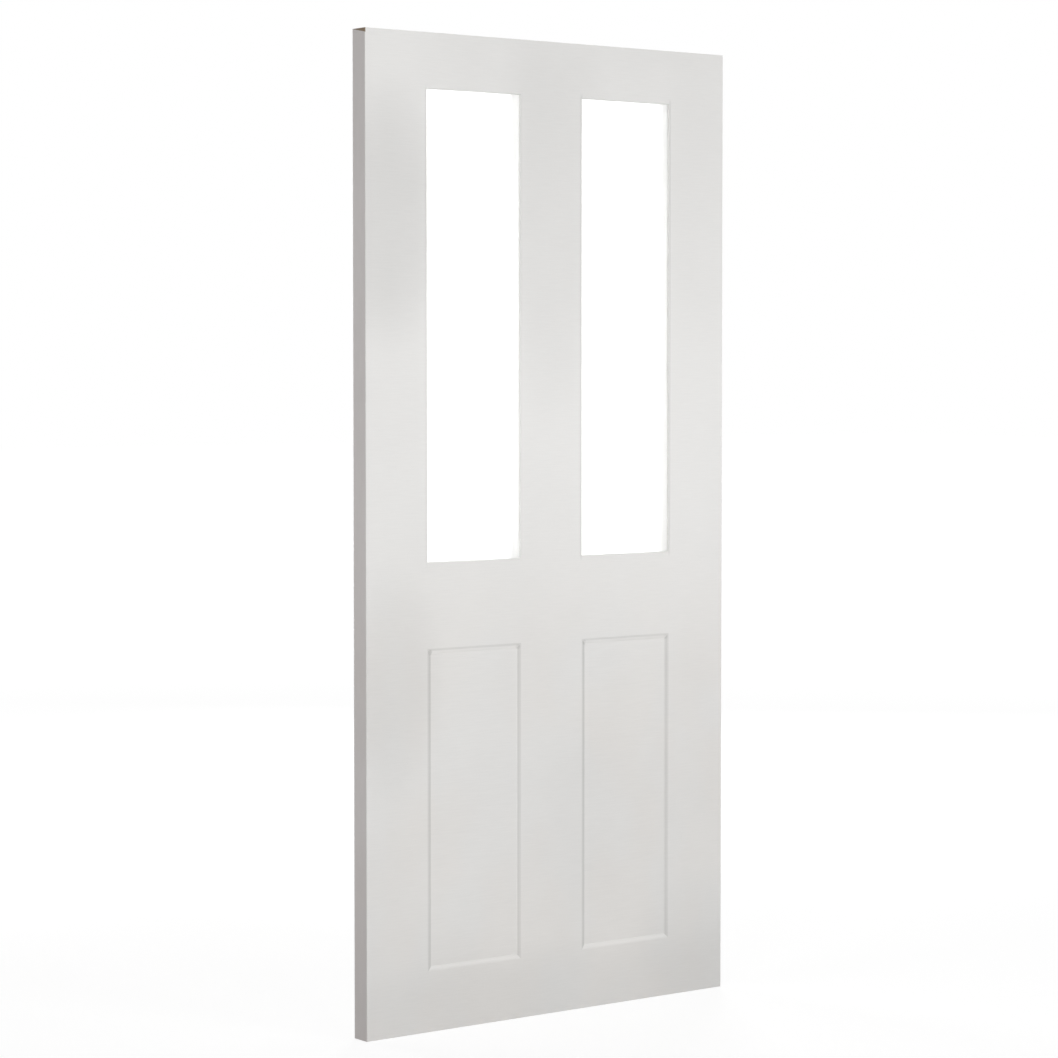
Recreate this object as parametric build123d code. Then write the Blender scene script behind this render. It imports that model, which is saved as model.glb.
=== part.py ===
"""Glazed interior door leaf: two panes over two flat panels, faced and lipped, in white primer.

Frame: millimetres, +X across the leaf from the hinge edge, -Y out of the front face, +Z up.
The origin is at the foot of the hinge edge, in the middle of the leaf's thickness.
"""
from build123d import *
import os

# Leaf
leaf_width = 915.0
leaf_height = 1981.0
leaf_thickness = 44.0
edge_radius = 1.5

# Face widths of the stiles, muntins and rails, measured between the mouldings
stile_face = 146.5
muntin_face = 156.0
top_rail_face = 109.0
middle_rail_face = 170.0
bottom_rail_face = 121.0
pane_opening_height = 937.0

# Facing boards and the lipping of the long edges
facing_thickness = 6.0
lipping_width = 10.0

# Panels: flat, set back behind a shallow ovolo on both faces
ovolo_width = 10.5
ovolo_crown = 0.6
panel_recess = 3.0

# Tongues round the panels and stub tenons on the rails and muntins, which share one groove size
tongue_length = 15.0
tongue_thickness = 12.0
groove_clearance = 1.0

# Glazing: a thin bevelled lip in front, splayed beads behind
lip_thickness = 3.0
lip_bevel = 2.0
lip_bevel_depth = 2.0
rebate_width = 14.0
glass_thickness = 6.0
glass_clearance = 3.0
tape_thickness = 0.5
tape_setback = 0.5
bead_reveal = 3.0
bead_nose = 3.0
bead_splay = 5.0
bead_arris = 1.0
bead_setback = 1.0

# Depths, from the front face to the back face
front = -leaf_thickness / 2
back = leaf_thickness / 2
core_front = front + facing_thickness
core_back = back - facing_thickness
tongue_front = -tongue_thickness / 2
tongue_back = tongue_thickness / 2
lip_back = front + lip_thickness
glass_front = lip_back + tape_thickness
glass_back = glass_front + glass_thickness
bead_front = glass_back + tape_thickness
bead_back = back - bead_setback
groove_depth = tongue_length + groove_clearance


def grown(rect, margin):
    """A rectangle (left, right, bottom, top) with every side moved out by the margin."""
    left, right, bottom, top = rect
    return (left - margin, right + margin, bottom - margin, top + margin)


# Openings as the face shows them
opening_width = (leaf_width - 2 * stile_face - muntin_face) / 2
panel_top = leaf_height - top_rail_face - pane_opening_height - middle_rail_face
pane_bottom = panel_top + middle_rail_face
pane_top = pane_bottom + pane_opening_height
opening_reach = {
    "left": (stile_face, stile_face + opening_width),
    "right": (leaf_width - stile_face - opening_width, leaf_width - stile_face),
}
panel_openings = {side: (*reach, bottom_rail_face, panel_top) for side, reach in opening_reach.items()}
pane_openings = {side: (*reach, pane_bottom, pane_top) for side, reach in opening_reach.items()}

# Panel fields inside the ovolos, clear sights inside the lips and the beads, and the rebates and glass
panel_fields = {side: grown(rect, -ovolo_width) for side, rect in panel_openings.items()}
sights = {side: grown(rect, -lip_bevel) for side, rect in pane_openings.items()}
bead_sights = {side: grown(rect, bead_reveal) for side, rect in sights.items()}
rebates = {side: grown(rect, rebate_width) for side, rect in sights.items()}
glasses = {side: grown(rect, -glass_clearance) for side, rect in rebates.items()}


def corner(rect, name):
    """One corner of a rectangle, as (across, up)."""
    left, right, bottom, top = rect
    level, side = name.split("_")
    return (left if side == "left" else right, bottom if level == "bottom" else top)


def outline(points, depth):
    """A flat face through (across, up) points at one depth."""
    return make_face(Polyline([(across, depth, up) for across, up in points], close=True))


def rectangle(rect, depth):
    """A flat rectangular face at one depth."""
    names = ("bottom_left", "bottom_right", "top_right", "top_left")
    return outline([corner(rect, name) for name in names], depth)


def plate(points, near, far):
    """A board with the given outline between two depths."""
    return extrude(outline(points, near), amount=far - near, dir=(0, 1, 0))


def slab(rect, near, far):
    """A rectangular board between two depths."""
    return extrude(rectangle(rect, near), amount=far - near, dir=(0, 1, 0))


def flare(near_rect, far_rect, near, far):
    """A four-sided taper from one rectangle to another."""
    return loft([rectangle(near_rect, near), rectangle(far_rect, far)], ruled=True)


def ovolo(outer, toe, place):
    """Section of a panel's moulding: a convex curve from the face down to the panel at its toe."""
    crown = place((outer + toe) / 2, front + panel_recess / 2 - ovolo_crown)
    return ThreePointArc(place(outer, front), crown, place(toe, front + panel_recess))


def sunk_section(low, high, place):
    """Section of the space over a panel, between the mouldings on two sides. Place gives a point on it."""
    low_toe = low + ovolo_width
    high_toe = high - ovolo_width
    panel_face = Line(place(low_toe, front + panel_recess), place(high_toe, front + panel_recess))
    open_side = Line(place(low, front), place(high, front))
    return make_face([ovolo(low, low_toe, place), panel_face, ovolo(high, high_toe, place), open_side])


def sunk_space(rect):
    """The space over a panel on the front face, with the mouldings of its four sides mitred."""
    left, right, bottom, top = rect
    across = sunk_section(left, right, lambda reach, depth: (reach, depth, bottom))
    upward = sunk_section(bottom, top, lambda reach, depth: (left, depth, reach))
    between_sides = extrude(across, amount=top - bottom, dir=(0, 0, 1))
    between_ends = extrude(upward, amount=right - left, dir=(1, 0, 0))
    return between_sides & between_ends


def mitred_edge(rect, toe, start, end):
    """Points along one side of an opening, where a moulding's toe runs into it with mitred ends."""
    inner = grown(rect, -toe)
    return [corner(rect, start), corner(inner, start), corner(inner, end), corner(rect, end)]


def stile_outline(side):
    """Outline of a stile's facing, from the leaf's edge to the toes of its mouldings."""
    leaf_edge = 0.0 if side == "left" else leaf_width
    joint = stile_face if side == "left" else leaf_width - stile_face
    ends = (f"bottom_{side}", f"top_{side}")
    return [
        (leaf_edge, 0),
        (joint, 0),
        *mitred_edge(panel_openings[side], ovolo_width, *ends),
        *mitred_edge(pane_openings[side], lip_bevel, *ends),
        (joint, leaf_height),
        (leaf_edge, leaf_height),
    ]


def facing_outlines():
    """Outline of each member's facing, with the mouldings mitred at the corners of the openings."""
    left_panel, right_panel = panel_openings["left"], panel_openings["right"]
    left_pane, right_pane = pane_openings["left"], pane_openings["right"]
    return {
        "left_stile": stile_outline("left"),
        "right_stile": stile_outline("right"),
        "top_rail": [
            (stile_face, leaf_height),
            *mitred_edge(left_pane, lip_bevel, "top_left", "top_right"),
            *mitred_edge(right_pane, lip_bevel, "top_left", "top_right"),
            (leaf_width - stile_face, leaf_height),
        ],
        "middle_rail": [
            *mitred_edge(left_panel, ovolo_width, "top_left", "top_right"),
            *mitred_edge(right_panel, ovolo_width, "top_left", "top_right"),
            *mitred_edge(right_pane, lip_bevel, "bottom_right", "bottom_left"),
            *mitred_edge(left_pane, lip_bevel, "bottom_right", "bottom_left"),
        ],
        "bottom_rail": [
            (stile_face, 0),
            *mitred_edge(left_panel, ovolo_width, "bottom_left", "bottom_right"),
            *mitred_edge(right_panel, ovolo_width, "bottom_left", "bottom_right"),
            (leaf_width - stile_face, 0),
        ],
        "upper_muntin": [
            *mitred_edge(left_pane, lip_bevel, "bottom_right", "top_right"),
            *mitred_edge(right_pane, lip_bevel, "top_left", "bottom_left"),
        ],
        "lower_muntin": [
            *mitred_edge(left_panel, ovolo_width, "bottom_right", "top_right"),
            *mitred_edge(right_panel, ovolo_width, "top_left", "bottom_left"),
        ],
    }


def eased_edge(board, outer, face):
    """Rounds the long arris of a stile's facing, where the leaf's edge meets its face."""
    long_edges = board.edges().filter_by(Axis.Z)
    arris = long_edges.group_by(Axis.X)[outer].sort_by(Axis.Y)[face]
    return fillet(arris, edge_radius)


def facings():
    """Front and back facing boards, cut to the ovolos, the bevelled lips and the rebates behind them."""
    front_cuts = []
    back_cuts = []
    for side, opening in panel_openings.items():
        sunk = sunk_space(opening)
        front_cuts.append(sunk)
        front_cuts.append(flare(pane_openings[side], sights[side], front, front + lip_bevel_depth))
        front_cuts.append(slab(rebates[side], lip_back, core_front))
        back_cuts.append(mirror(sunk, about=Plane.XZ))
        back_cuts.append(slab(rebates[side], core_back, back))
    pieces = {}
    for member, points in facing_outlines().items():
        front_board = plate(points, front, core_front) - front_cuts
        back_board = plate(points, core_back, back) - back_cuts
        if member.endswith("stile"):
            outer = 0 if member.startswith("left") else -1
            front_board = eased_edge(front_board, outer, 0)
            back_board = eased_edge(back_board, outer, -1)
        pieces[f"{member}_front_facing"] = front_board
        pieces[f"{member}_back_facing"] = back_board
    return pieces


def core(left, right, bottom, top):
    """A block of core timber, as thick as the leaf less its facings."""
    return slab((left, right, bottom, top), core_front, core_back)


def key(left, right, bottom, top):
    """A groove or a stub tenon, in the middle of the core's thickness."""
    return slab((left, right, bottom, top), tongue_front, tongue_back)


def cores():
    """Timber cores of the stiles, rails and muntins, grooved and tenoned, and the lippings."""
    field_left, field_right, field_bottom, field_top = panel_fields["left"]
    rebate_left, rebate_right, rebate_bottom, rebate_top = rebates["left"]
    low_muntin = (field_right, leaf_width - field_right)
    high_muntin = (rebate_right, leaf_width - rebate_right)
    low_tenon = (low_muntin[0] + groove_depth, low_muntin[1] - groove_depth)
    high_tenon = (high_muntin[0] + groove_depth, high_muntin[1] - groove_depth)
    low_rail = (field_left, leaf_width - field_left)
    high_rail = (rebate_left, leaf_width - rebate_left)
    low_rail_tenons = (low_rail[0] - tongue_length, low_rail[1] + tongue_length)
    high_rail_tenons = (high_rail[0] - tongue_length, high_rail[1] + tongue_length)

    stile = core(lipping_width, field_left, 0, leaf_height)
    stile -= core(rebate_left, field_left, rebate_bottom, leaf_height)
    stile -= key(field_left - groove_depth, field_left, 0, rebate_bottom)
    stile -= key(rebate_left - groove_depth, rebate_left, rebate_top, leaf_height)
    lipping = core(0, lipping_width, 0, leaf_height)

    top_rail = core(*high_rail, rebate_top, leaf_height)
    top_rail += key(*high_rail_tenons, rebate_top, leaf_height)
    top_rail -= key(*high_tenon, rebate_top, rebate_top + groove_depth)

    middle_rail = core(*low_rail, field_top, rebate_bottom)
    middle_rail += key(*low_rail_tenons, field_top, rebate_bottom)
    middle_rail -= key(*low_rail_tenons, field_top, field_top + groove_depth)
    middle_rail -= key(*high_tenon, rebate_bottom - groove_depth, rebate_bottom)

    bottom_rail = core(*low_rail, 0, field_bottom)
    bottom_rail += key(*low_rail_tenons, 0, field_bottom)
    bottom_rail -= key(*low_rail_tenons, field_bottom - groove_depth, field_bottom)

    upper_muntin = core(*high_muntin, rebate_bottom, rebate_top)
    upper_muntin += key(*high_tenon, rebate_bottom - tongue_length, rebate_top + tongue_length)

    lower_muntin = core(*low_muntin, field_bottom, field_top)
    lower_muntin -= key(*low_muntin, field_bottom, field_top)
    lower_muntin += key(*low_tenon, field_bottom - tongue_length, field_top + tongue_length)

    centre_plane = Plane.YZ.offset(leaf_width / 2)
    return {
        "left_stile_core": stile,
        "left_stile_lipping": lipping,
        "right_stile_core": mirror(stile, about=centre_plane),
        "right_stile_lipping": mirror(lipping, about=centre_plane),
        "top_rail_core": top_rail,
        "middle_rail_core": middle_rail,
        "bottom_rail_core": bottom_rail,
        "upper_muntin_core": upper_muntin,
        "lower_muntin_core": lower_muntin,
    }


def panels():
    """Flat panels between the ovolos, with a tongue all round that sits in the grooves."""
    pieces = {}
    for side, field in panel_fields.items():
        board = slab(field, front + panel_recess, back - panel_recess)
        board += slab(grown(field, tongue_length), tongue_front, tongue_back)
        pieces[f"{side}_panel"] = board
    return pieces


def beads(pane):
    """The four mitred beads of one pane, splayed away from the glass and eased at the back."""
    sight = bead_sights[pane]
    splayed = grown(sight, bead_splay)
    eased = grown(splayed, bead_arris)
    splay_start = bead_front + bead_nose
    splay_end = bead_back - bead_arris
    cuts = [flare(sight, splayed, splay_start, splay_end), flare(splayed, eased, splay_end, bead_back)]
    bead_ends = {
        "left": ("bottom_left", "top_left"),
        "top": ("top_left", "top_right"),
        "right": ("top_right", "bottom_right"),
        "bottom": ("bottom_right", "bottom_left"),
    }
    pieces = {}
    for bead, ends in bead_ends.items():
        blank = plate(mitred_edge(rebates[pane], rebate_width - bead_reveal, *ends), bead_front, bead_back)
        pieces[f"{pane}_pane_{bead}_bead"] = blank - cuts
    return pieces


def tape(glass, sight, near, far):
    """A ring of glazing tape along the edge of the glass, set back a little from a sight line."""
    return slab(glass, near, far) - slab(grown(sight, tape_setback), near, far)


def glazing():
    """Panes bedded on tape against the front lips, and the beads that hold them from behind."""
    pieces = {}
    for pane, glass in glasses.items():
        pieces[f"{pane}_pane"] = slab(glass, glass_front, glass_back)
        pieces[f"{pane}_pane_front_tape"] = tape(glass, sights[pane], lip_back, glass_front)
        pieces[f"{pane}_pane_back_tape"] = tape(glass, bead_sights[pane], glass_back, bead_front)
        pieces.update(beads(pane))
    return pieces


os.makedirs("parts", exist_ok=True)
for node, solid in {**facings(), **cores(), **panels(), **glazing()}.items():
    export_step(solid, f"parts/{node}.step")
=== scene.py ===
"""Looks of the glazed interior door: white primer, bare ends, satin panes, pinned beads, light and camera.

Metres, in the leaf's own frame: +X across from the hinge edge, -Y out of the front face, +Z up.
"""
import math
import random

import bmesh
import bpy
from mathutils import Euler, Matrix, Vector


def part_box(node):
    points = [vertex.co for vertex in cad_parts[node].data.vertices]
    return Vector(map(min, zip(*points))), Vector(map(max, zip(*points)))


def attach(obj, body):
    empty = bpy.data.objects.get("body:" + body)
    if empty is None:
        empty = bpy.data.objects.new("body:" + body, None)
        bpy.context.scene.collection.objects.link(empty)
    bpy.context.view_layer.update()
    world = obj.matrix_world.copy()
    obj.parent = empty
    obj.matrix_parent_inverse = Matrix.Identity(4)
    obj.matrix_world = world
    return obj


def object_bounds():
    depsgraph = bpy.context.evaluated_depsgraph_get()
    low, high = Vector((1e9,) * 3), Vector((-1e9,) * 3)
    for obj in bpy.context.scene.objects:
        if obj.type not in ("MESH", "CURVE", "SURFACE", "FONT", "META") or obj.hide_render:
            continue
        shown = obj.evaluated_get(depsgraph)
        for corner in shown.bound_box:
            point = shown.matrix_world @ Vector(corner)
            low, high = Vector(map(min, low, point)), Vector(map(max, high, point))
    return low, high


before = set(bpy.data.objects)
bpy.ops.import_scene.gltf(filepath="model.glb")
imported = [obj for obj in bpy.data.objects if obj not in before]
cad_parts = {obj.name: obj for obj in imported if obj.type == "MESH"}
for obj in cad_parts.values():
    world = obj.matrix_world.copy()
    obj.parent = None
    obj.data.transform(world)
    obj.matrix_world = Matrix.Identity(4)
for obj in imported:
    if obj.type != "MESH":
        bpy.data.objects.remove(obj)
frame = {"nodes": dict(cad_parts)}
cad_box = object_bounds()
nodes = frame["nodes"]
leaf_low, leaf_high = cad_box

MM = 0.001
leaf_thickness = leaf_high.y - leaf_low.y
pane_sides = ("left", "right")
upright_beads = ("left", "right")
bead_places = (*upright_beads, "top", "bottom")
leaf_faces = ("front", "back")
white = (1.0, 1.0, 1.0, 1.0)

# Sockets of a colour Mix node: its share, its two colours and its result
mix_share, mix_first, mix_second, mix_result = 0, 6, 7, 2


class Value:
    """A number or colour that varies over a surface. Sums on a number add Math nodes to its tree."""

    def __init__(self, nodes, socket):
        self.nodes = nodes
        self.socket = socket

    def work(self, operation, *terms):
        return self.nodes.node("Math", {"operation": operation}, dict(enumerate(terms)))

    def __add__(self, other):
        return self.work("ADD", self, other)

    __radd__ = __add__

    def __sub__(self, other):
        return self.work("SUBTRACT", self, other)

    def __rsub__(self, other):
        return self.work("SUBTRACT", other, self)

    def __mul__(self, other):
        return self.work("MULTIPLY", self, other)

    __rmul__ = __mul__

    def __truediv__(self, other):
        return self.work("DIVIDE", self, other)

    def __pow__(self, other):
        return self.work("POWER", self, other)

    def __abs__(self):
        return self.work("ABSOLUTE", self)

    def __or__(self, other):
        return self.work("MAXIMUM", self, other)

    def floor(self):
        return self.work("FLOOR", self)

    def fract(self):
        return self.work("FRACT", self)


class Nodes:
    """A node tree that is written as sums and calls."""

    def __init__(self, tree):
        self.tree = tree
        tree.nodes.clear()

    def node(self, kind, settings=None, sockets=None, output=0):
        """Adds a node: its settings first, then the values or links of its sockets."""
        made = self.tree.nodes.new("ShaderNode" + kind)
        for name, setting in (settings or {}).items():
            setattr(made, name, setting)
        for name, value in (sockets or {}).items():
            if isinstance(value, Value):
                self.tree.links.new(value.socket, made.inputs[name])
            else:
                made.inputs[name].default_value = value
        return Value(self, made.outputs[output]) if made.outputs else None

    def axes(self, vector):
        """The three parts of a vector."""
        split = self.node("SeparateXYZ", sockets={"Vector": vector})
        return [Value(self, socket) for socket in split.socket.node.outputs]

    def rise(self, value, start, end):
        """0 before start and 1 after end, with a smooth rise between them."""
        sockets = {"Value": value, "From Min": start, "From Max": end}
        return self.node("MapRange", {"interpolation_type": "SMOOTHSTEP"}, sockets)

    def band(self, value, first, last):
        """1 between two smooth sides. Each side goes from where it is 0 to where it is 1."""
        return self.rise(value, *first) * self.rise(value, *last)

    def mix(self, share, first, second, blend="MIX"):
        """A colour between two colours, or the first one blended with the second."""
        sockets = {mix_share: share, mix_first: first, mix_second: second}
        return self.node("Mix", {"data_type": "RGBA", "blend_type": blend}, sockets, mix_result)

    def seen_directly(self):
        """1 for what the camera sees, also by reflection or through glass, and 0 for light that bounces."""
        rays = ("Is Camera Ray", "Is Glossy Ray", "Is Transmission Ray")
        camera, glossy, through = [self.node("LightPath", output=ray) for ray in rays]
        return camera | glossy | through


class Finish(Nodes):
    """One material, worked out in the leaf's own coordinates."""

    def __init__(self, name):
        self.material = bpy.data.materials.new(name)
        self.material.use_nodes = True
        super().__init__(self.material.node_tree)
        self.place = self.node("TexCoord", output="Object")
        self.across, self.depth, self.up = self.axes(self.place)

    def normal(self):
        """How far the surface faces the lock edge, the back and up, each from -1 to 1."""
        return self.axes(self.node("TexCoord", output="Normal"))

    def noise(self, per_metre, detail=2.0):
        """Noise about 0.5, with so many lumps to the metre along each axis."""
        scaled = self.node("VectorMath", {"operation": "MULTIPLY"}, {0: self.place, 1: per_metre})
        return self.node("TexNoise", sockets={"Vector": scaled, "Scale": 1.0, "Detail": detail})

    def ripple(self, per_metre, detail=2.0):
        """The same noise about 0."""
        return self.noise(per_metre, detail) - 0.5

    def shader(self, sockets, relief=None, relief_height=0.0):
        """A Principled shader, with an optional relief as bump."""
        if relief is not None:
            bump = {"Height": relief, "Distance": relief_height, "Strength": 1.0}
            sockets = {**sockets, "Normal": self.node("Bump", sockets=bump)}
        return self.node("BsdfPrincipled", sockets=sockets)

    def done(self, shader):
        """Closes the material."""
        self.node("OutputMaterial", sockets={"Surface": shader})
        return self.material


def srgb(red, green, blue):
    """A colour as a picture gives it, 0 to 255, in the linear form that shaders take."""
    parts = [part / 255 for part in (red, green, blue)]
    linear = [part / 12.92 if part < 0.04045 else ((part + 0.055) / 1.055) ** 2.4 for part in parts]
    return (*linear, 1.0)


# White primer: thin and full on the faces, then thin and full on the upright edges, whose darker copies are
# painted shade on the edges
board_coats = (srgb(196, 195, 193), srgb(232, 231, 229), srgb(190, 184, 182), srgb(225, 220, 218))
# Upright beads: lighter copies of the primer, painted light that brightens them behind the panes
lit_bead_coats = (srgb(234, 233, 231), srgb(244, 243, 241), srgb(234, 233, 231), srgb(244, 243, 241))
coat_shine = 0.5

# Lumps to the metre of its clouds, roller streaks and stipple
cloud_scale = (2.6, 2.6, 2.2)
face_streaks = (24, 90, 420)
upright_streaks = (90, 90, 24)
level_streaks = (24, 90, 90)
stipple_scale = (700, 700, 700)
rolled_detail = 3.0
stipple_detail = 1.0

# Its cover, roughness and relief, and what clouds, streaks and stipple add to them
mean_cover = 0.815
cloud_cover = 0.46
streak_cover = 0.2
stipple_cover = 0.07
coat_roughness = 0.36
cloud_roughness = 0.12
streak_roughness = 0.12
coat_relief = 0.04 * MM
streak_relief = 0.75
stipple_relief = 0.8

# A warmer tint in soft patches of the lower half: its noise, and the levels and heights where it comes in
warm_tint = (1.0, 0.988, 0.978, 1.0)
warm_scale = (5.0, 5.0, 3.0)
warm_levels = (0.4, 0.62)
warm_heights = (1.1, 0.6)

# Slopes, as parts of the normal, that tell edges, the front, and the rounds, lips and toes of mouldings
edge_slopes = (0.85, 0.95)
front_slopes = (-0.3, -0.6)
round_slopes = ((0.05, 0.24), (0.46, 0.28))
lip_slopes = ((0.62, 0.68), (0.8, 0.72))
toe_slopes = ((0.36, 0.44), (0.6, 0.5))
under_round_slopes = ((0.03, 0.1), (0.26, 0.14))
under_toe_slopes = ((0.16, 0.28), (0.62, 0.5))

# Painted shade as cover lost on the rounds and lips of upright mouldings and under level ones, and painted
# highlight as cover gained at their toes
round_shade = 0.5
lip_shade = 0.25
under_round_shade = 0.27
toe_highlight = 0.12
under_toe_highlight = 0.3

# Painted shade in soft patches of the front face, and painted light where negative: middle, half width and
# half height, and cover lost, or gained if negative
shade_and_light_patches = {
    "hinge_stile_top": ((0.05, 1.62), (0.17, 0.3), 0.42),
    "upper_muntin_top": ((0.46, 1.66), (0.18, 0.5), 0.25),
    "lock_stile_top": ((0.85, 1.65), (0.16, 0.36), 0.1),
    "hinge_stile_middle": ((0.06, 0.7), (0.14, 0.26), 0.2),
    "lock_side_middle": ((0.72, 0.85), (0.35, 0.45), -0.08),
    "hinge_panel_foot": ((0.33, 0.27), (0.28, 0.2), -0.08),
    "lock_stile_foot": ((0.86, 0.12), (0.2, 0.16), 0.12),
    "foot": ((0.46, 0.0), (1.1, 0.17), 0.185),
}
# Painted shade on the upright edges, darker towards the foot from the given height down
edge_foot_shade = 0.31
edge_foot_height = 0.5

# Painted shade in lines on the face beside the panes, left and right, as primer cover lost
pane_side_shade = {"left_pane": (0.12, 0.06), "right_pane": (0.34, 0.3)}
pane_rebate = 14.0 * MM
pane_shade_offset = 3.0 * MM
pane_shade_widths = (4.0 * MM, 1.5 * MM)

# Painted shade in the top corners of the panel mouldings, darkest in the first corner
corner_shade = {"left_panel": (0.8, 0.4), "right_panel": (0.5, 0.35)}
panel_tongue = 15.0 * MM
corner_reach = 3.0 * MM
corner_radius = 6.5 * MM


def soft_patch(finish, middle, half_size):
    """1 at the middle of a soft oval patch and 0 outside it."""
    aside = (finish.across - middle[0]) / half_size[0]
    above = (finish.up - middle[1]) / half_size[1]
    return finish.rise(aside ** 2.0 + above ** 2.0, 1.0, 0.0)


def shaded_corners(finish):
    """Painted shade in the top corners of the panel mouldings, as cover lost."""
    painted_shading = 0.0
    for panel, shade_of_sides in corner_shade.items():
        low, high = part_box(panel)
        up = high.z - panel_tongue + corner_reach
        sides = (low.x + panel_tongue - corner_reach, high.x - panel_tongue + corner_reach)
        for across, corner in zip(sides, shade_of_sides):
            painted_shading = painted_shading + corner * soft_patch(finish, (across, up), (corner_radius, corner_radius))
    return painted_shading


def shaded_pane_sides(finish):
    """Painted shade in the lines beside the panes, as cover lost."""
    painted_shading = 0.0
    for pane, shade_of_sides in pane_side_shade.items():
        left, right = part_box(f"{pane}_left_bead"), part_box(f"{pane}_right_bead")
        low, high = left[0].z, left[1].z
        beside_pane = finish.band(finish.up, (low, low + pane_rebate), (high, high - pane_rebate))
        reach = pane_rebate - pane_shade_offset
        sides = (left[0].x + reach, right[1].x - reach)
        for across, line in zip(sides, shade_of_sides):
            away = abs(finish.across - across)
            painted_shading = painted_shading + line * beside_pane * finish.rise(away, *pane_shade_widths)
    return painted_shading


def front_painted_shading(finish, facing_back):
    """Painted shade and light of the front face, as cover lost in its soft patches, lines and corners."""
    painted_shading = shaded_corners(finish) + shaded_pane_sides(finish)
    for middle, half_size, share in shade_and_light_patches.values():
        painted_shading = painted_shading + share * soft_patch(finish, middle, half_size)
    return painted_shading * finish.rise(facing_back, *front_slopes)


def moulding_shade_and_highlight(finish, sideways, facing_down):
    """Painted shade and highlight on mouldings: cover lost over the round and on lips darkens them, and
    cover gained at the toe lightens it.
    """
    rounds = round_shade * finish.band(sideways, *round_slopes)
    lips = lip_shade * finish.band(sideways, *lip_slopes)
    under_rounds = under_round_shade * finish.band(facing_down, *under_round_slopes)
    toes = toe_highlight * finish.band(sideways, *toe_slopes)
    under_toes = under_toe_highlight * finish.band(facing_down, *under_toe_slopes)
    return rounds + lips + under_rounds - toes - under_toes


def primer(finish, streak_scale, coats):
    """Colour, roughness and relief of the primer: soft clouds, faint roller streaks and a fine stipple, with
    painted shade and highlight on mouldings, edges and the front face.
    """
    clouds = finish.ripple(cloud_scale, rolled_detail)
    streaks = finish.ripple(streak_scale, rolled_detail)
    stipple = finish.ripple(stipple_scale, stipple_detail)
    to_lock_edge, facing_back, facing_up = finish.normal()
    sideways = abs(to_lock_edge)
    on_edge = finish.rise(sideways, *edge_slopes)
    # Painted shade and highlight, taken off the primer's cover
    painted_shading = moulding_shade_and_highlight(finish, sideways, 0 - facing_up) + front_painted_shading(finish, facing_back)
    painted_shading = painted_shading + edge_foot_shade * on_edge * finish.rise(finish.up, edge_foot_height, 0.0)
    cover_and_shading = mean_cover + cloud_cover * clouds + streak_cover * streaks + stipple_cover * stipple - painted_shading
    # The upright edges take darker copies of the primer: painted shade on the edges
    thin_face, full_face, shaded_thin_edge, shaded_full_edge = coats
    thin = finish.mix(on_edge, thin_face, shaded_thin_edge)
    full = finish.mix(on_edge, full_face, shaded_full_edge)
    warmth = finish.rise(finish.noise(warm_scale), *warm_levels) * finish.rise(finish.up, *warm_heights)
    colour = finish.mix(warmth, finish.mix(cover_and_shading, thin, full), warm_tint, "MULTIPLY")
    roughness = coat_roughness + cloud_roughness * clouds + streak_roughness * streaks
    return colour, roughness, streak_relief * streaks + stipple_relief * stipple


# Bare ends, which the primer runs over at the arrises
spill_start = leaf_thickness / 2 - 4.5 * MM
spill_end = leaf_thickness / 2 - 1.5 * MM
spill_waver = 9.0 * MM
spill_scale = (160, 160, 160)
spill_detail = 3.0
end_reach = 0.6 * MM
end_slopes = (0.8, 0.95)


def bare_ends(finish):
    """1 on the top and bottom ends of the leaf, where no primer was rolled."""
    facing_end = abs(finish.normal()[2])
    from_middle = abs(finish.up - leaf_high.z / 2)
    at_end = finish.rise(from_middle, leaf_high.z / 2 - end_reach, leaf_high.z / 2 - end_reach / 2)
    ragged = spill_waver * finish.ripple(spill_scale, spill_detail)
    spill = finish.rise(abs(finish.depth) + ragged, spill_start, spill_end)
    return finish.rise(facing_end, *end_slopes) * at_end * (1 - spill)


# A wedge at the top of the hinge edge that the primer missed
wedge_height = 8.5 * MM
wedge_fringe = 0.5 * MM
wedge_waver = 2.0 * MM
wedge_scale = (400, 400, 400)
wedge_depths = (1.6 * MM, 0.8 * MM)


def missed_wedge(finish):
    """1 on the wedge of bare wood, which widens towards the front face."""
    to_front = (leaf_high.y - finish.depth) / leaf_thickness
    ragged = wedge_waver * finish.ripple(wedge_scale)
    reach = wedge_height * to_front - (leaf_high.z - finish.up) + ragged
    return finish.rise(reach, -wedge_fringe, wedge_fringe) * finish.rise(finish.across, *wedge_depths)


# Bare fibreboard: colours, lumps to the metre, and what fibres and saw marks lighten
fibre_light = srgb(188, 156, 118)
fibre_dark = srgb(146, 114, 80)
fibre_scale = (900, 900, 900)
saw_mark_scale = (320, 40, 40)
fibre_share = 0.9
saw_mark_share = 0.35
dense_share = 0.15

# Bare softwood: colours, staves, growth rings, pores and grain
early_wood = srgb(226, 196, 148)
late_wood = srgb(178, 130, 80)
glue_line = srgb(150, 116, 76)
weathered_wood = srgb(142, 124, 104)
stave_width = 33.0 * MM
pith_spread = 120.0 * MM
pith_turn = 7.31
ring_width = 2.6 * MM
ring_waver = 1.4
waver_scale = (60, 60, 20)
ring_sharpness = 3.0
ring_share = 0.75
pore_scale = (1600, 1600, 60)
pore_share = 0.5
early_share = 0.15
seam_reach = (0.488, 0.494)
seam_share = 0.7
flow_scale = (3.0, 140, 140)
flow_levels = (0.38, 0.68)
line_scale = (14, 900, 900)
line_share = 0.5
line_start = 0.1
fine_detail = 4.0

# Bare wood is rougher than primer, and a core duller than both
raw_roughness = 0.4
raw_relief = 2.0
timber_roughness = 0.62
grain_roughness = 0.3
timber_shine = 0.3
timber_relief = 0.08 * MM


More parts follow.
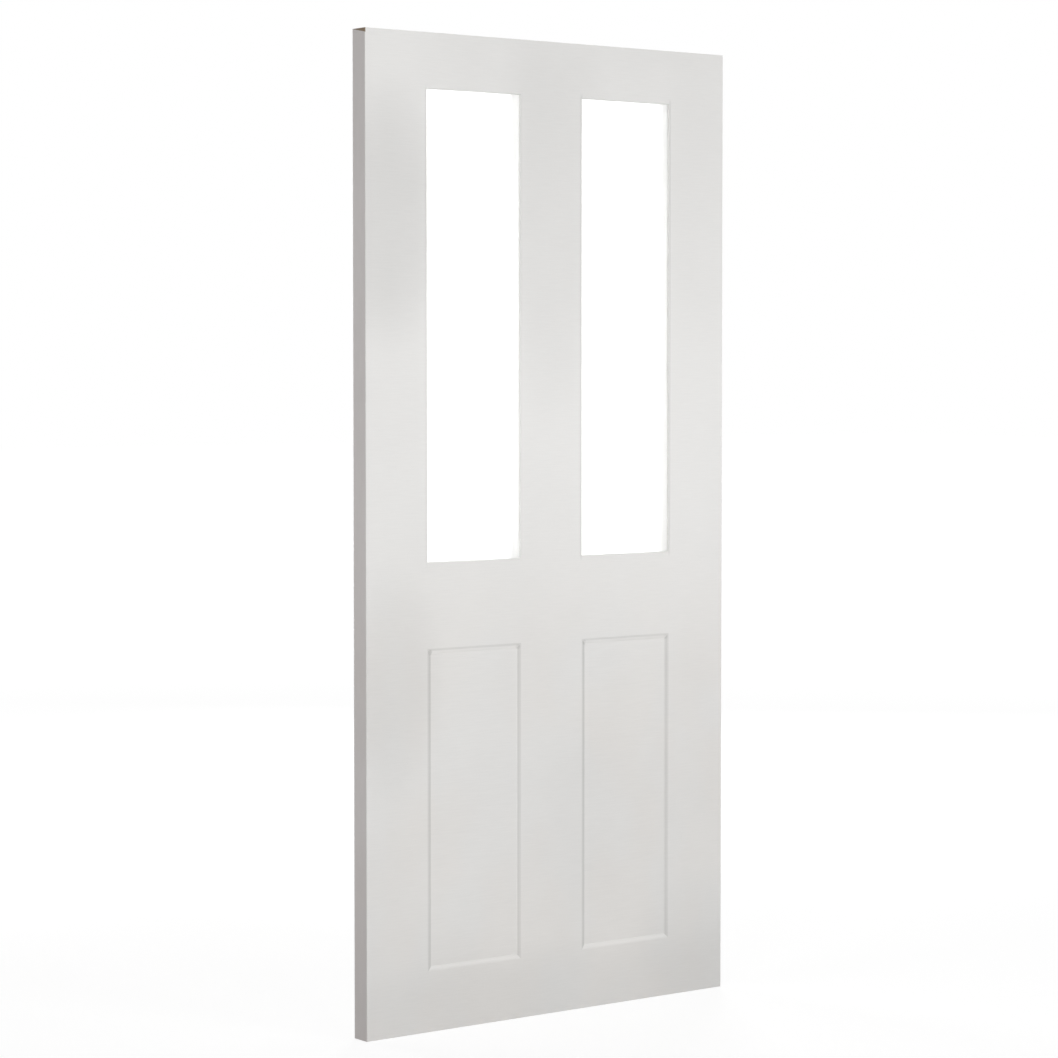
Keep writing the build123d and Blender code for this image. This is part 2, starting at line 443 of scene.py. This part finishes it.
def sawn_fibreboard(finish):
    """Colour of a sawn edge of fibreboard: fine fibres, crossed by saw marks."""
    fibres = finish.noise(fibre_scale, fine_detail)
    saw_marks = finish.noise(saw_mark_scale)
    light = fibre_share * fibres + saw_mark_share * saw_marks - dense_share
    return finish.mix(light, fibre_dark, fibre_light), fibres


def end_grain(finish):
    """Colour of laminated softwood across the grain: arcs of growth rings, turned in each stave."""
    staves = finish.across / stave_width
    stave = staves.floor()
    turn = finish.node("TexWhiteNoise", {"noise_dimensions": "1D"}, {"W": stave})
    pith_across = (stave + turn) * stave_width
    pith_depth = (turn * pith_turn).fract() * pith_spread - pith_spread / 2
    out = ((finish.across - pith_across) ** 2.0 + (finish.depth - pith_depth) ** 2.0) ** 0.5
    rings = out / ring_width + ring_waver * finish.noise(waver_scale)
    pores = finish.noise(pore_scale)
    late = ring_share * rings.fract() ** ring_sharpness + pore_share * pores - early_share
    on_seam = finish.rise(abs(staves.fract() - 0.5), *seam_reach)
    return finish.mix(seam_share * on_seam, finish.mix(late, early_wood, late_wood), glue_line), pores


def long_grain(finish):
    """Colour of softwood along the grain, for the edges of the rails."""
    flow = finish.rise(finish.noise(flow_scale, fine_detail), *flow_levels)
    lines = finish.noise(line_scale)
    colour = finish.mix(flow, early_wood, late_wood)
    return finish.mix(line_share * lines - line_start, colour, late_wood), lines


def primed_board(name, streak_scale, bare=None, missed=False, coats=board_coats):
    """A primed piece. A bare core colour shows on its ends, and on the wedge that the primer missed."""
    finish = Finish(name)
    colour, roughness, relief = primer(finish, streak_scale, coats)
    if bare is not None:
        raw = bare_ends(finish)
        wood, grain = bare(finish)
        colour = finish.mix(raw, colour, wood)
        roughness = roughness + raw_roughness * raw
        relief = relief + raw_relief * raw * grain
    if missed:
        wedge = missed_wedge(finish)
        colour = finish.mix(wedge, colour, weathered_wood)
        roughness = roughness + raw_roughness * wedge
    sockets = {"Base Color": colour, "Roughness": roughness, "Specular IOR Level": coat_shine}
    return finish.done(finish.shader(sockets, relief, coat_relief))


def core_timber(name, grain):
    """Bare softwood of a core."""
    finish = Finish(name)
    colour, relief = grain(finish)
    roughness = timber_roughness + grain_roughness * relief
    sockets = {"Base Color": colour, "Roughness": roughness, "Specular IOR Level": timber_shine}
    return finish.done(finish.shader(sockets, relief, timber_relief))


# Satin glass: a fine etch with a slow drift, and the light that passes to what is behind
glass_ior = 1.5
satin_roughness = 0.5
etch_scale = (1800, 1800, 1800)
etch_roughness = 0.12
etch_relief = 0.01 * MM
drift_scale = (3, 3, 3)
drift_roughness = 0.1
passed_light = (0.8, 0.82, 0.81, 1.0)


def satin_glass(name):
    """Etched glass: it passes light and hides what is behind it."""
    finish = Finish(name)
    etch = finish.ripple(etch_scale)
    drift = finish.ripple(drift_scale)
    sockets = {
        "Base Color": white,
        "Roughness": satin_roughness + etch_roughness * etch + drift_roughness * drift,
        "IOR": glass_ior,
        "Transmission Weight": 1.0,
    }
    glass = finish.shader(sockets, etch, etch_relief)
    clear = finish.node("BsdfTransparent", sockets={"Color": passed_light})
    lamp_ray = finish.node("LightPath", output="Is Shadow Ray")
    return finish.done(finish.node("MixShader", sockets={0: lamp_ray, 1: glass, 2: clear}))


# Glazing tape and the filler over the pins
tape_hollow = srgb(206, 206, 204)
tape_skin = srgb(240, 240, 238)
tape_roughness = 0.7
cell_scale = (1500, 1500, 1500)
cell_roughness = 0.2
cell_relief = 0.1 * MM
filler_dark = srgb(214, 210, 200)
filler_light = srgb(232, 230, 224)
filler_roughness = 0.55
grit_scale = (1400, 1400, 1400)
grit_detail = 3.0
grit_roughness = 0.2
grit_relief = 0.04 * MM


def foam_tape(name):
    """White closed-cell glazing tape."""
    finish = Finish(name)
    cells = finish.noise(cell_scale)
    colour = finish.mix(cells, tape_hollow, tape_skin)
    sockets = {"Base Color": colour, "Roughness": tape_roughness + cell_roughness * cells}
    return finish.done(finish.shader(sockets, cells, cell_relief))


def pin_filler(name):
    """Filler over the pin heads, rubbed down under the primer."""
    finish = Finish(name)
    grit = finish.noise(grit_scale, grit_detail)
    colour = finish.mix(grit, filler_dark, filler_light)
    sockets = {"Base Color": colour, "Roughness": filler_roughness + grit_roughness * grit}
    return finish.done(finish.shader(sockets, grit, grit_relief))


def wear(node, material):
    """Gives a piece its material."""
    slots = nodes[node].data.materials
    slots.clear()
    slots.append(material)


# Materials on the leaf's pieces
facing_finish = primed_board("primed_facing", face_streaks, sawn_fibreboard)
hinge_facing_finish = primed_board("primed_hinge_facing", face_streaks, sawn_fibreboard, missed=True)
lipping_finish = primed_board("primed_lipping", upright_streaks, end_grain)
hinge_lipping_finish = primed_board("primed_hinge_lipping", upright_streaks, end_grain, missed=True)
panel_finish = primed_board("primed_panel", face_streaks)
upright_bead_finish = primed_board("primed_upright_bead", upright_streaks, coats=lit_bead_coats)
level_bead_finish = primed_board("primed_level_bead", level_streaks)
stile_core_finish = core_timber("stile_core_softwood", end_grain)
rail_core_finish = core_timber("rail_core_softwood", long_grain)
pane_finish = satin_glass("satin_pane")
tape_finish = foam_tape("glazing_tape")
pin_finish = pin_filler("filled_pin")

stiles = ("left_stile", "right_stile")
rails = ("top_rail", "middle_rail", "bottom_rail", "upper_muntin", "lower_muntin")
for member in stiles + rails:
    wear(f"{member}_core", stile_core_finish if member in stiles else rail_core_finish)
    at_hinge = member == "left_stile"
    for face in leaf_faces:
        wear(f"{member}_{face}_facing", hinge_facing_finish if at_hinge else facing_finish)
wear("left_stile_lipping", hinge_lipping_finish)
wear("right_stile_lipping", lipping_finish)
for side in pane_sides:
    wear(f"{side}_panel", panel_finish)
    wear(f"{side}_pane", pane_finish)
    for face in leaf_faces:
        wear(f"{side}_pane_{face}_tape", tape_finish)
    for bead in bead_places:
        wear(f"{side}_pane_{bead}_bead", upright_bead_finish if bead in upright_beads else level_bead_finish)


# Pins that hold the beads, set in their splayed faces, filled and rubbed down
pin_radius = 1.5 * MM
pin_crown = 0.16 * MM
pin_rings = ((1.0, -0.2), (0.8, 0.55), (0.45, 0.9))
pin_corners = 20
pin_depth = 9.0 * MM
pin_margin = 48.0 * MM
pin_spacing = 215.0 * MM
pin_wander = 2.0 * MM
pin_sizes = (0.85, 1.15)
pin_seed = 11

# The beads' splay, between their square foot on the glass and their nose
bead_foot = 3.0 * MM
bead_nose = 1.0 * MM
bead_splay = 5.0 * MM
splay_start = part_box("left_pane_left_bead")[0].y + bead_foot
splay_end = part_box("left_pane_left_bead")[1].y - bead_nose
splay_angle = math.atan2(bead_splay, splay_end - splay_start)
splay_at_pin = bead_splay * (pin_depth - splay_start) / (splay_end - splay_start)

# Ways that the beads' faces look: into the pane and out of the back
into_pane = {
    "left": Vector((1, 0, 0)),
    "right": Vector((-1, 0, 0)),
    "bottom": Vector((0, 0, 1)),
    "top": Vector((0, 0, -1)),
}
out_of_back = Vector((0, 1, 0))


def filled_pin(mesh, place, outward, scale):
    """One filled pin head: a low dome on the bead's face."""
    side = outward.orthogonal().normalized()
    other = outward.cross(side)
    rings = []
    for share, height in pin_rings:
        ring = []
        for corner in range(pin_corners):
            turn = 2 * math.pi * corner / pin_corners
            spread = scale * pin_radius * share * (math.cos(turn) * side + math.sin(turn) * other)
            ring.append(mesh.verts.new(place + spread + outward * pin_crown * height))
        rings.append(ring)
    crown = mesh.verts.new(place + outward * pin_crown)
    for low, high in zip(rings, rings[1:]):
        for corner in range(pin_corners):
            after = (corner + 1) % pin_corners
            mesh.faces.new((low[corner], low[after], high[after], high[corner]))
    for corner in range(pin_corners):
        mesh.faces.new((rings[-1][corner], rings[-1][(corner + 1) % pin_corners], crown))
    mesh.faces.new(reversed(rings[0]))


def pin_row(mesh, node, bead, chance):
    """Filled pins along one bead."""
    low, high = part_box(node)
    inward = into_pane[bead]
    inner = high if sum(inward) > 0 else low
    if bead in upright_beads:
        along = Vector((0, 0, 1))
        start = Vector((inner.x, pin_depth, low.z))
    else:
        along = Vector((1, 0, 0))
        start = Vector((low.x, pin_depth, inner.z))
    pinned = (high - low).dot(along) - 2 * pin_margin
    gaps = max(1, round(pinned / pin_spacing))
    outward = inward * math.cos(splay_angle) + out_of_back * math.sin(splay_angle)
    for number in range(gaps + 1):
        reach = pin_margin + pinned * number / gaps + chance.uniform(-1, 1) * pin_wander
        place = start + along * reach - inward * splay_at_pin
        filled_pin(mesh, place, outward, chance.uniform(*pin_sizes))


def bead_pins():
    """All the filled pins of both panes, one piece to a pane."""
    chance = random.Random(pin_seed)
    for side in pane_sides:
        mesh = bmesh.new()
        for bead in bead_places:
            pin_row(mesh, f"{side}_pane_{bead}_bead", bead, chance)
        bmesh.ops.recalc_face_normals(mesh, faces=mesh.faces)
        for face in mesh.faces:
            face.smooth = True
        data = bpy.data.meshes.new(f"{side}_pane_bead_pins")
        mesh.to_mesh(data)
        mesh.free()
        data.materials.append(pin_finish)
        pins = bpy.data.objects.new(f"{side}_pane_bead_pins", data)
        bpy.context.scene.collection.objects.link(pins)
        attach(pins, "root")


bead_pins()


# Floor
floor_half = 40.0
floor_gap = 0.4 * MM
floor_grey = (0.6, 0.6, 0.6, 1.0)
floor_seen_grey = (0.25, 0.25, 0.25, 1.0)
no_glow = (0.0, 0.0, 0.0, 1.0)
near_glow = (0.825, 0.825, 0.825, 1.0)
far_glow = (0.97, 0.97, 0.97, 1.0)
far_start = 1.5
far_end = 8.0


def studio_floor():
    """A pale floor that shows white, apart from the leaf's shadow."""
    finish = Finish("studio_floor")
    seen = finish.seen_directly()
    away = ((finish.across - leaf_high.x / 2) ** 2.0 + finish.depth ** 2.0) ** 0.5
    glow = finish.mix(finish.rise(away, far_start, far_end), near_glow, far_glow)
    sockets = {
        "Base Color": finish.mix(seen, floor_grey, floor_seen_grey),
        "Roughness": 1.0,
        "Specular IOR Level": 0.0,
        "Emission Color": finish.mix(seen, no_glow, glow),
        "Emission Strength": 1.0,
    }
    material = finish.done(finish.shader(sockets))
    signs = ((-1, -1), (1, -1), (1, 1), (-1, 1))
    corners = [(floor_half * x, floor_half * y, -floor_gap) for x, y in signs]
    data = bpy.data.meshes.new("studio_floor")
    data.from_pydata(corners, [], [range(len(corners))])
    data.materials.append(material)
    floor = bpy.data.objects.new("studio_floor", data)
    bpy.context.scene.collection.objects.link(floor)


studio_floor()


# Light: a low even room, and soft boxes in front to the left, the right, high up and straight on, and behind
room_level = 0.15

# Place of each box, the point that it faces, its width and height, and its power
soft_boxes = {
    "left_box": ((-3.4, -3.0, 1.3), (0.45, 0.0, 1.1), (1.4, 1.8), 72.0),
    "right_box": ((4.1, -4.1, 1.3), (0.45, 0.0, 1.25), (1.6, 1.4), 44.0),
    "high_box": ((2.0, -5.6, 3.8), (0.45, 0.0, 0.9), (2.0, 1.6), 87.0),
    "front_box": ((-0.6, -4.4, 1.35), (0.45, 0.0, 1.1), (1.2, 1.2), 39.0),
    "back_left_box": ((-0.2, 5.0, 1.4), (0.45, 0.0, 1.1), (1.6, 2.6), 110.0),
    "back_right_box": ((3.8, 3.7, 2.6), (0.45, 0.0, 1.1), (1.6, 1.8), 110.0),
}


def soft_box(name, place, target, size, power):
    """A rectangular lamp that faces a point of the leaf, and that can't be seen, also through the panes."""
    lamp = bpy.data.lights.new(name, "AREA")
    lamp.shape = "RECTANGLE"
    lamp.size, lamp.size_y = size
    lamp.energy = power
    box = bpy.data.objects.new(name, lamp)
    box.location = place
    box.rotation_euler = (Vector(place) - Vector(target)).to_track_quat("Z", "Y").to_euler()
    box.visible_camera = False
    box.visible_transmission = False
    bpy.context.scene.collection.objects.link(box)


def room():
    """The room's even light, which is white to the camera."""
    world = bpy.data.worlds.new("room")
    world.use_nodes = True
    world.cycles.sampling_method = "NONE"
    bpy.context.scene.world = world
    tree = Nodes(world.node_tree)
    strength = room_level + (1 - room_level) * tree.seen_directly()
    even = tree.node("Background", sockets={"Color": white, "Strength": strength})
    tree.node("OutputWorld", sockets={"Surface": even})


room()
for box_name, (place, target, size, power) in soft_boxes.items():
    soft_box(box_name, place, target, size, power)


# Camera: in front of the leaf and to its left, level with the panes
camera_place = (-3.4545, -5.0774, 1.3246)
camera_yaw = math.radians(37.321)
camera_pitch = math.radians(-2.310)
camera_lens = 106.88
camera_film = 36.0
camera_shift = -0.034
camera_reach = 200.0


def studio_camera():
    """The camera at the photograph's angle."""
    lens = bpy.data.cameras.new("camera")
    lens.sensor_width = camera_film
    lens.lens = camera_lens
    lens.shift_y = camera_shift
    lens.clip_end = camera_reach
    camera = bpy.data.objects.new("camera", lens)
    camera.location = camera_place
    camera.rotation_euler = Euler((math.pi / 2 + camera_pitch, 0.0, -camera_yaw))
    bpy.context.scene.collection.objects.link(camera)
    bpy.context.scene.camera = camera


studio_camera()
bpy.context.scene.view_settings.view_transform = "Standard"
